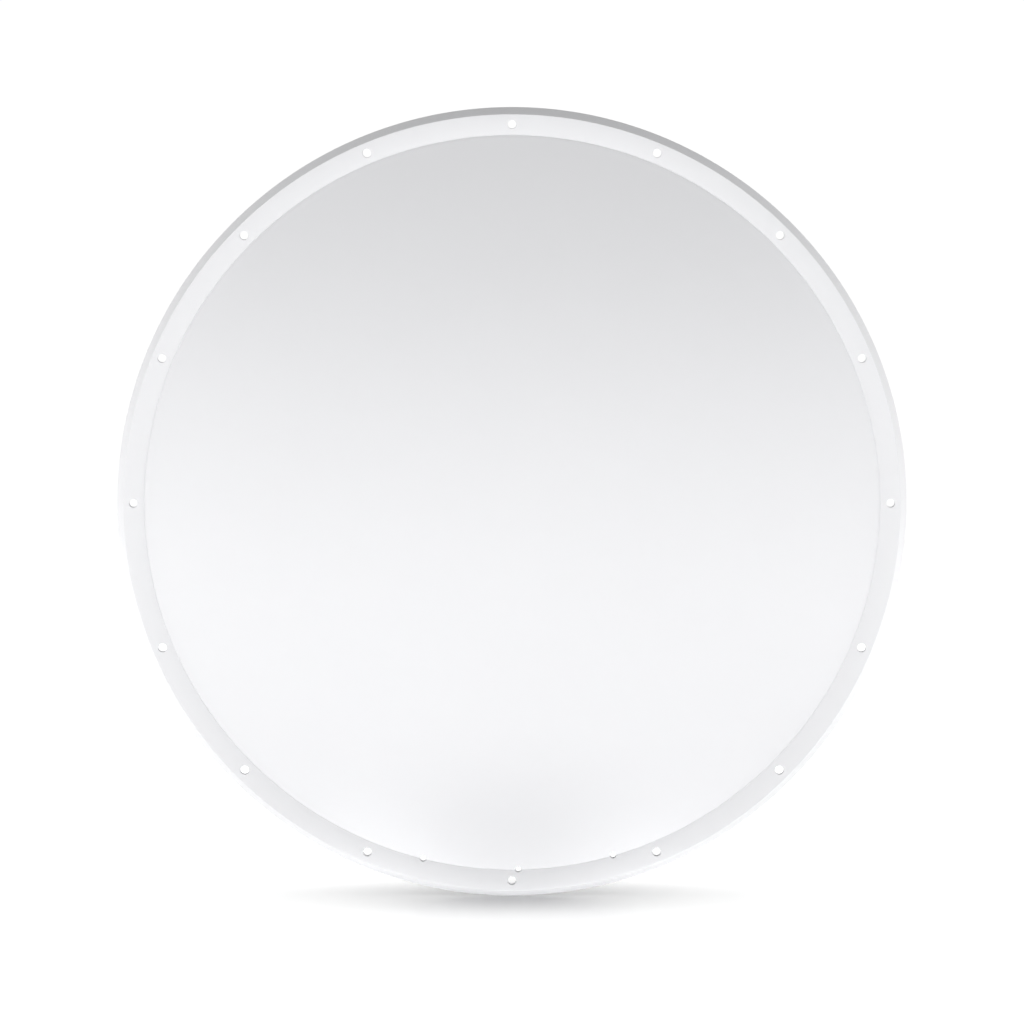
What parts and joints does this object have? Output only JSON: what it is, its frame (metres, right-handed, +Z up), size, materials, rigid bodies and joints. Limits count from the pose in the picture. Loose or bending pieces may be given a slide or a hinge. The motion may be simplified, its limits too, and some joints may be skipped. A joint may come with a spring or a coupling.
{
  "type": "radar dome antenna",
  "caption": "Shallow white marine radar dome with a drilled rim, a rear pan behind it and a geared slotted array turning inside.",
  "frame": {"origin": "centre of the rim's bolt circle, on the back face of the pan flange", "axes": "-Y out of the dome towards the viewer, +Z up with one rim hole at the top and the drain holes at the bottom, +X to the right seen from the front"},
  "size_m": [0.65, 0.254, 0.65],
  "materials": {
    "radome_plastic": "semi-gloss moulded white",
    "pan_plastic": "semi-gloss moulded off-white",
    "rubber_seal": "matt sponge rubber",
    "rubber_cap": "matt moulded rubber",
    "brass": "machined brass",
    "gear_brass": "hobbed brass, light oil",
    "waveguide_brass": "drawn brass tube, lacquered",
    "stainless": "bright stainless",
    "nickel": "nickel plate",
    "black_plastic": "fine texture black moulding",
    "sheet_aluminium": "brushed sheet",
    "cast_aluminium": "shot-blasted casting",
    "bearing_steel": "ground and polished",
    "bearing_balls": "polished balls in a pressed cage",
    "spring_steel": "black oxide",
    "machined_steel": "turned, light oil",
    "gear_plastic": "natural acetal",
    "motor_laminations": "black lacquered laminations",
    "magnet": "nickel-plated magnet",
    "circuit_board": "solder-masked laminate",
    "electronics": "moulded component bodies",
    "window_plastic": "moulded microwave-clear plastic",
    "coax": "bare semi-rigid coax",
    "cable_jacket": "round cable jacket"
  },
  "bodies": {
    "base": {"rear_pan": "pan_plastic", "rim_gasket": "rubber_seal", "shell_screws": "stainless", "mounting_inserts": "brass", "power_connector": "black_plastic", "data_connector": "black_plastic", "connector_nuts": "nickel", "connector_caps": "rubber_cap", "vent_plug": "black_plastic", "ground_stud": "brass", "chassis_plate": "sheet_aluminium", "chassis_screws": "stainless", "bearing_housing": "cast_aluminium", "housing_screws": "stainless", "upper_outer_race": "bearing_steel", "lower_outer_race": "bearing_steel", "housing_circlip": "spring_steel", "idler_post": "machined_steel", "idler_clip": "spring_steel", "motor_body": "motor_laminations", "motor_end_caps": "cast_aluminium", "motor_screws": "stainless", "index_sensor": "circuit_board", "rotary_joint_stator": "brass", "transceiver_case": "cast_aluminium", "transceiver_lid": "sheet_aluminium", "lid_screws": "stainless", "power_board": "circuit_board", "power_parts": "electronics", "control_board": "circuit_board", "control_parts": "electronics", "board_standoffs": "nickel", "board_screws": "stainless", "rf_coax": "coax", "wiring_loom": "cable_jacket"},
    "radome_cover": {"radome": "radome_plastic", "radome_inserts": "brass"},
    "rotor": {"upper_inner_race": "bearing_steel", "lower_inner_race": "bearing_steel", "race_spacer": "bearing_steel", "spindle": "machined_steel", "spindle_nut": "machined_steel", "main_gear": "gear_brass", "gear_screws": "stainless", "index_magnet": "magnet", "rotary_joint_probe": "brass", "antenna_bracket": "sheet_aluminium", "bracket_screws": "stainless", "array_casting": "cast_aluminium", "slotted_waveguide": "waveguide_brass", "array_window": "window_plastic", "array_end_caps": "black_plastic", "array_screws": "stainless", "waveguide_feed": "brass"},
    "idler": {"idler_gear": "gear_plastic"},
    "motor_rotor": {"drive_pinion": "machined_steel", "motor_shaft": "machined_steel"},
    "upper_balls": {"upper_ball_cage": "bearing_balls"},
    "lower_balls": {"lower_ball_cage": "bearing_balls"}
  },
  "joints": [
    {"name": "radome_lift", "type": "slide", "parent": "base", "child": "radome_cover", "axis": [0, -1, 0], "range_m": [0, 0.25]},
    {"name": "antenna_spin", "type": "hinge", "parent": "base", "child": "rotor", "pos_m": [0, 0, 0], "axis": [0, -1, 0], "continuous": true},
    {"name": "idler_spin", "type": "hinge", "parent": "base", "child": "idler", "pos_m": [-0.096, 0.04, 0], "axis": [0, -1, 0], "continuous": true},
    {"name": "pinion_spin", "type": "hinge", "parent": "base", "child": "motor_rotor", "pos_m": [-0.12146, 0.04, -0.02546], "axis": [0, -1, 0], "continuous": true},
    {"name": "upper_balls_spin", "type": "hinge", "parent": "base", "child": "upper_balls", "pos_m": [0, 0.0525, 0], "axis": [0, -1, 0], "continuous": true},
    {"name": "lower_balls_spin", "type": "hinge", "parent": "base", "child": "lower_balls", "pos_m": [0, 0.0885, 0], "axis": [0, -1, 0], "continuous": true}
  ],
  "couplings": [
    {"joint": "idler_spin", "follows": "antenna_spin", "ratio": -3},
    {"joint": "pinion_spin", "follows": "antenna_spin", "ratio": 6},
    {"joint": "upper_balls_spin", "follows": "antenna_spin", "ratio": 0.42},
    {"joint": "lower_balls_spin", "follows": "antenna_spin", "ratio": 0.42}
  ]
}
